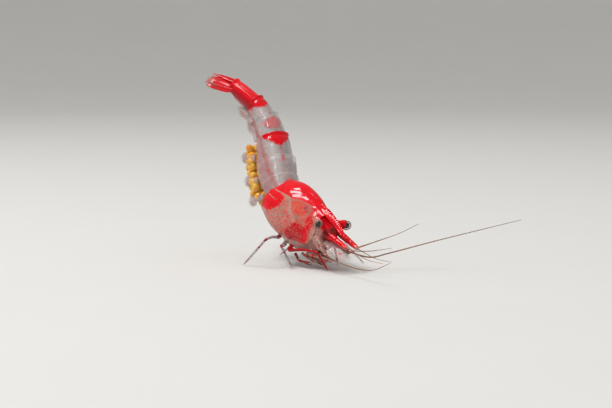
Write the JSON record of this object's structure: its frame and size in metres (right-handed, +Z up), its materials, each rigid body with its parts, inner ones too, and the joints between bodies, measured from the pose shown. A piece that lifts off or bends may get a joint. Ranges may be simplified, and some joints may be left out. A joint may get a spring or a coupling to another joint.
{
  "type": "cherry shrimp",
  "caption": "Freshwater cherry shrimp carrying eggs, head down on walking legs with raised abdomen, tail fan and long feelers.",
  "frame": {"origin": "on the floor, under the middle of the bounding box", "axes": "+X the way the head points, +Y the animal's left, +Z up"},
  "size_m": [0.0328, 0.0202, 0.0186],
  "materials": {
    "red_shell": "glossy wet red shell, mottled",
    "clear_shell": "glossy milky shell with red bands and specks",
    "flesh": "moist pinkish beige flesh",
    "leg": "glossy red, banded paler at the joints",
    "feeler": "fine ringed feeler",
    "eye": "polished dark eye with a paler rim",
    "egg": "glossy yellow orange egg"
  },
  "bodies": {
    "root": {"abdomen_1": "clear_shell", "abdomen_2": "clear_shell", "abdomen_3": "clear_shell", "abdomen_4": "clear_shell", "abdomen_5": "clear_shell", "abdomen_6": "red_shell", "antenna_base_left": "flesh", "antenna_base_right": "flesh", "antenna_feeler_far_left": "feeler", "antenna_feeler_far_right": "feeler", "antenna_feeler_near_left": "feeler", "antenna_feeler_near_right": "feeler", "antenna_scale_left": "clear_shell", "antenna_scale_right": "clear_shell", "antennule_flagellum_inner_left": "feeler", "antennule_flagellum_inner_right": "feeler", "antennule_flagellum_outer_left": "feeler", "antennule_flagellum_outer_right": "feeler", "antennule_left": "red_shell", "antennule_right": "red_shell", "carapace": "red_shell", "eggs": "egg", "eye_left": "eye", "eye_right": "eye", "eyestalk_left": "red_shell", "eyestalk_right": "red_shell", "head": "flesh", "leg_1_left": "leg", "leg_1_right": "leg", "leg_2_left": "leg", "leg_2_right": "leg", "leg_3_left": "leg", "leg_3_right": "leg", "leg_4_left": "leg", "leg_4_right": "leg", "leg_5_left": "leg", "leg_5_right": "leg", "maxilliped_left": "leg", "maxilliped_right": "leg", "mouthparts": "flesh", "rostrum": "red_shell", "swimmeret_1_left": "clear_shell", "swimmeret_1_right": "clear_shell", "swimmeret_2_left": "clear_shell", "swimmeret_2_right": "clear_shell", "swimmeret_3_left": "clear_shell", "swimmeret_3_right": "clear_shell", "swimmeret_4_left": "clear_shell", "swimmeret_4_right": "clear_shell", "swimmeret_5_left": "clear_shell", "swimmeret_5_right": "clear_shell", "telson": "red_shell", "thorax": "flesh", "uropod_inner_left": "red_shell", "uropod_inner_right": "red_shell", "uropod_outer_left": "red_shell", "uropod_outer_right": "red_shell"}
  },
  "joints": []
}
